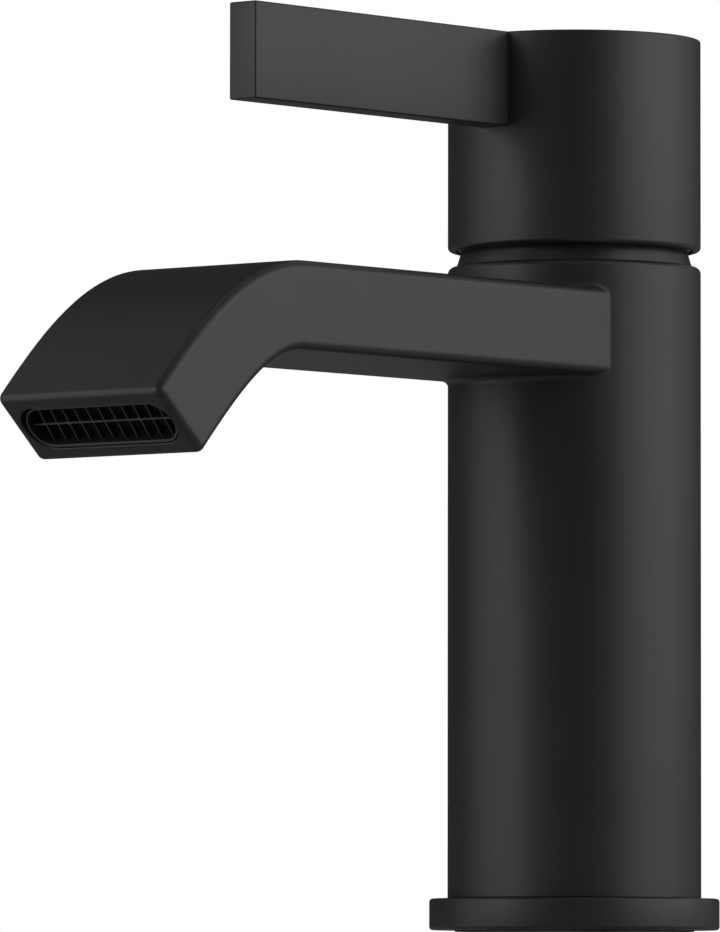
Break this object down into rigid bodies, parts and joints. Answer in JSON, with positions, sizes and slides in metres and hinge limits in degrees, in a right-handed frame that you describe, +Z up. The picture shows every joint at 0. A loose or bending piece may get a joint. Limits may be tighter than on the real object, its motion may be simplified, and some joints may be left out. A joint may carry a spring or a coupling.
{
  "type": "basin mixer faucet",
  "caption": "Single-lever basin mixer: round column, flat spout bent down at a slotted outlet, cap handle with a blade lever that lifts and swivels, ceramic cartridge, deck clamp.",
  "frame": {"origin": "centre of the column's underside, where it rests on the deck", "axes": "+Z up along the column, -Y towards the spout outlet and the lever's tip, +X to the right of someone who stands behind the faucet and looks over the spout"},
  "size_m": [0.0516, 0.1582, 0.2185],
  "materials": {
    "matte_black_coat": "fine matt black powder coat over brass",
    "handle_black_coat": "fine matt black powder coat over cast zinc",
    "flange_black_coat": "fine matt black powder coat",
    "collar_black_coat": "satin black coat",
    "turned_brass": "turned",
    "zinc_plated_steel": "zinc plated",
    "stainless_pin_steel": "ground",
    "alumina_ceramic": null,
    "white_acetal": "moulded",
    "grey_nylon": "moulded",
    "dark_grille_plastic": "moulded, slightly glossy",
    "black_insert_plastic": "moulded",
    "red_limit_ring": "moulded",
    "black_rubber": "moulded rubber"
  },
  "bodies": {
    "faucet_body": {"mixer_body": "matte_black_coat", "base_flange": "flange_black_coat", "base_gasket": "black_rubber", "cover_collar": "collar_black_coat", "cartridge_nut": "turned_brass", "cartridge_housing": "grey_nylon", "housing_seal": "black_rubber", "cartridge_base": "white_acetal", "base_seal_hot": "black_rubber", "base_seal_cold": "black_rubber", "disc_seal": "black_rubber", "fixed_disc": "alumina_ceramic", "outlet_grille": "dark_grille_plastic", "outlet_insert": "black_insert_plastic", "flow_plate": "white_acetal", "outlet_seal": "black_rubber", "fixing_stud": "zinc_plated_steel"},
    "rotor": {"cartridge_rotor": "grey_nylon", "limit_ring": "red_limit_ring", "pivot_pin": "stainless_pin_steel"},
    "lever": {"handle": "handle_black_coat", "lever_stem": "turned_brass", "handle_set_screw": "stainless_pin_steel", "screw_plug": "black_insert_plastic"},
    "disc_pack": {"moving_disc": "alumina_ceramic", "disc_carrier": "white_acetal"},
    "clamp": {"clamp_washer": "black_rubber", "clamp_plate": "zinc_plated_steel", "clamp_nut": "turned_brass"}
  },
  "joints": [
    {"name": "handle_swivel", "type": "hinge", "parent": "faucet_body", "child": "rotor", "pos_m": [0, 0, 0.11], "axis": [0, 0, 1], "range_deg": [-45, 45]},
    {"name": "handle_lift", "type": "hinge", "parent": "rotor", "child": "lever", "pos_m": [0, 0, 0.11], "axis": [-1, 0, 0], "range_deg": [0, 20]},
    {"name": "disc_slide", "type": "slide", "parent": "rotor", "child": "disc_pack", "axis": [0, -1, 0], "range_m": [0, 0.0029]},
    {"name": "clamp_travel", "type": "slide", "parent": "faucet_body", "child": "clamp", "axis": [0, 0, 1], "range_m": [-0.015, 0.02]}
  ],
  "couplings": [
    {"joint": "disc_slide", "follows": "handle_lift", "m_per_rad": 0.0082}
  ]
}
